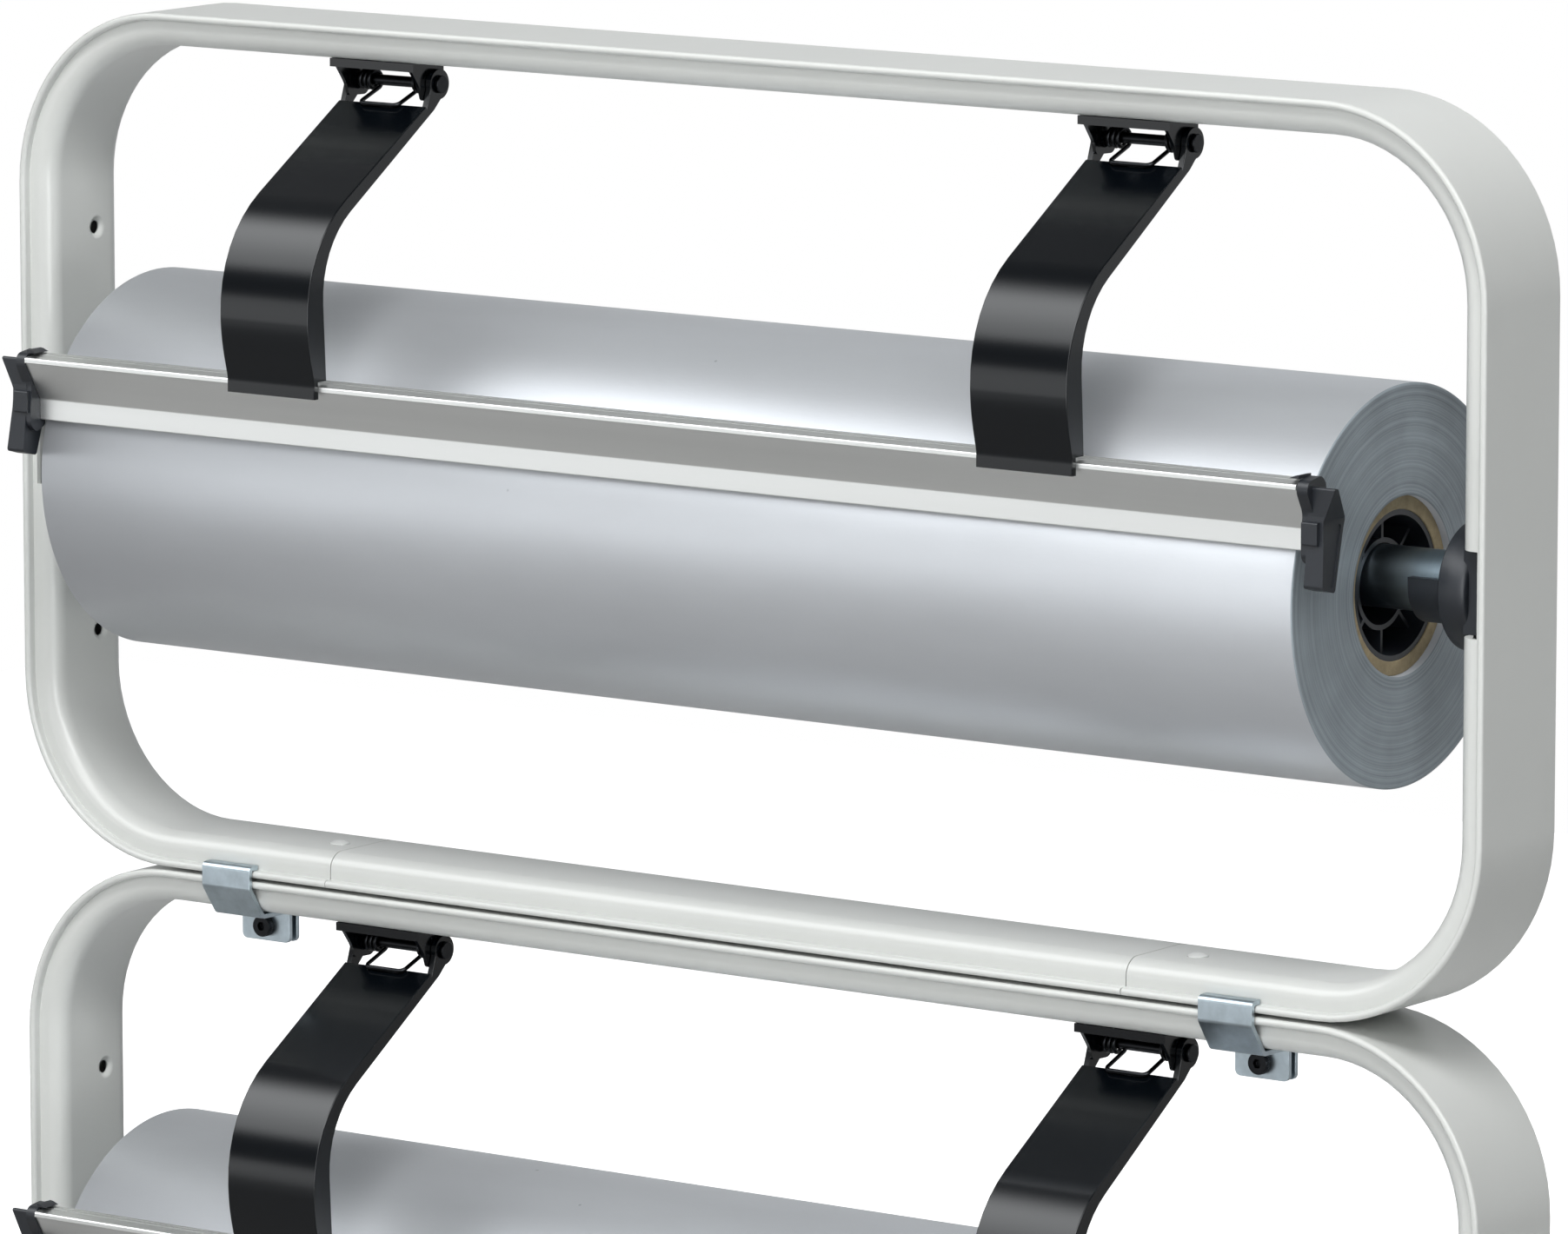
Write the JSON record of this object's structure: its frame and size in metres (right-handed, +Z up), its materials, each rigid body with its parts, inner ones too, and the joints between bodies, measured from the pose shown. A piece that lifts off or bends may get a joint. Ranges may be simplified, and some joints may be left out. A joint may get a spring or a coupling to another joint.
{
  "type": "two-tier paper roll dispenser",
  "caption": "Stacked bent aluminium frames, each holding a wide paper roll on a steel tube under a sprung tear bar on hinged arms.",
  "frame": {"origin": "middle of the flat underside of the lower frame's bottom bar", "axes": "+X along the rolls, to the right as seen from the tear bars; +Y to the back; +Z up"},
  "size_m": [0.586, 0.1408, 0.5812],
  "materials": {
    "frame_aluminium": "light silver-grey powder coat",
    "rivet_aluminium": "plain",
    "black_plastic": "moulded, satin",
    "zinc_tube": "bright zinc plated",
    "silver_paper": "satin silver, wound tight",
    "core_board": "wound board",
    "black_steel": "black powder coat, satin",
    "bright_steel": "zinc plated",
    "dark_steel": "black oxide",
    "bar_aluminium": "satin anodised",
    "zinc_sheet": "bluish zinc plated sheet"
  },
  "bodies": {
    "frames": {"lower_frame_hoop": "frame_aluminium", "lower_frame_joiner": "frame_aluminium", "lower_joiner_rivets": "rivet_aluminium", "lower_left_roll_holder": "black_plastic", "lower_right_roll_holder": "black_plastic", "lower_axle_tube": "zinc_tube", "lower_left_hinge_bracket": "black_steel", "lower_right_hinge_bracket": "black_steel", "lower_bracket_screws": "bright_steel", "lower_left_hinge_pin": "dark_steel", "lower_right_hinge_pin": "dark_steel", "upper_frame_hoop": "frame_aluminium", "upper_frame_joiner": "frame_aluminium", "upper_joiner_rivets": "rivet_aluminium", "upper_left_roll_holder": "black_plastic", "upper_right_roll_holder": "black_plastic", "upper_axle_tube": "zinc_tube", "upper_left_hinge_bracket": "black_steel", "upper_right_hinge_bracket": "black_steel", "upper_bracket_screws": "bright_steel", "upper_left_hinge_pin": "dark_steel", "upper_right_hinge_pin": "dark_steel", "left_link_hook": "zinc_sheet", "right_link_hook": "zinc_sheet", "left_link_clamp": "zinc_sheet", "right_link_clamp": "zinc_sheet", "link_screws": "dark_steel", "link_nuts": "bright_steel"},
    "lower_cutter": {"lower_left_arm": "black_steel", "lower_right_arm": "black_steel", "lower_tear_bar": "bar_aluminium", "lower_bar_rivets": "rivet_aluminium", "lower_left_bar_cap": "black_plastic", "lower_right_bar_cap": "black_plastic", "lower_left_torsion_spring": "dark_steel", "lower_right_torsion_spring": "dark_steel"},
    "lower_roll": {"lower_paper_roll": "silver_paper", "lower_roll_core": "core_board", "lower_left_core_plug": "black_plastic", "lower_right_core_plug": "black_plastic"},
    "upper_cutter": {"upper_left_arm": "black_steel", "upper_right_arm": "black_steel", "upper_tear_bar": "bar_aluminium", "upper_bar_rivets": "rivet_aluminium", "upper_left_bar_cap": "black_plastic", "upper_right_bar_cap": "black_plastic", "upper_left_torsion_spring": "dark_steel", "upper_right_torsion_spring": "dark_steel"},
    "upper_roll": {"upper_paper_roll": "silver_paper", "upper_roll_core": "core_board", "upper_left_core_plug": "black_plastic", "upper_right_core_plug": "black_plastic"}
  },
  "joints": [
    {"name": "lower_cutter_hinge", "type": "hinge", "parent": "frames", "child": "lower_cutter", "pos_m": [0.0035, -0.0012, 0.2708], "axis": [-1, 0, 0], "range_deg": [0, 45], "stiffness_Nm_per_rad": 1, "springref_deg": -34.38},
    {"name": "lower_roll_spin", "type": "hinge", "parent": "frames", "child": "lower_roll", "pos_m": [-0.003, 0.0045, 0.1361], "axis": [1, 0, 0], "continuous": true},
    {"name": "upper_cutter_hinge", "type": "hinge", "parent": "frames", "child": "upper_cutter", "pos_m": [0.0035, -0.0012, 0.562], "axis": [-1, 0, 0], "range_deg": [0, 45], "stiffness_Nm_per_rad": 1, "springref_deg": -34.38},
    {"name": "upper_roll_spin", "type": "hinge", "parent": "frames", "child": "upper_roll", "pos_m": [-0.003, 0.0045, 0.4273], "axis": [1, 0, 0], "continuous": true}
  ]
}
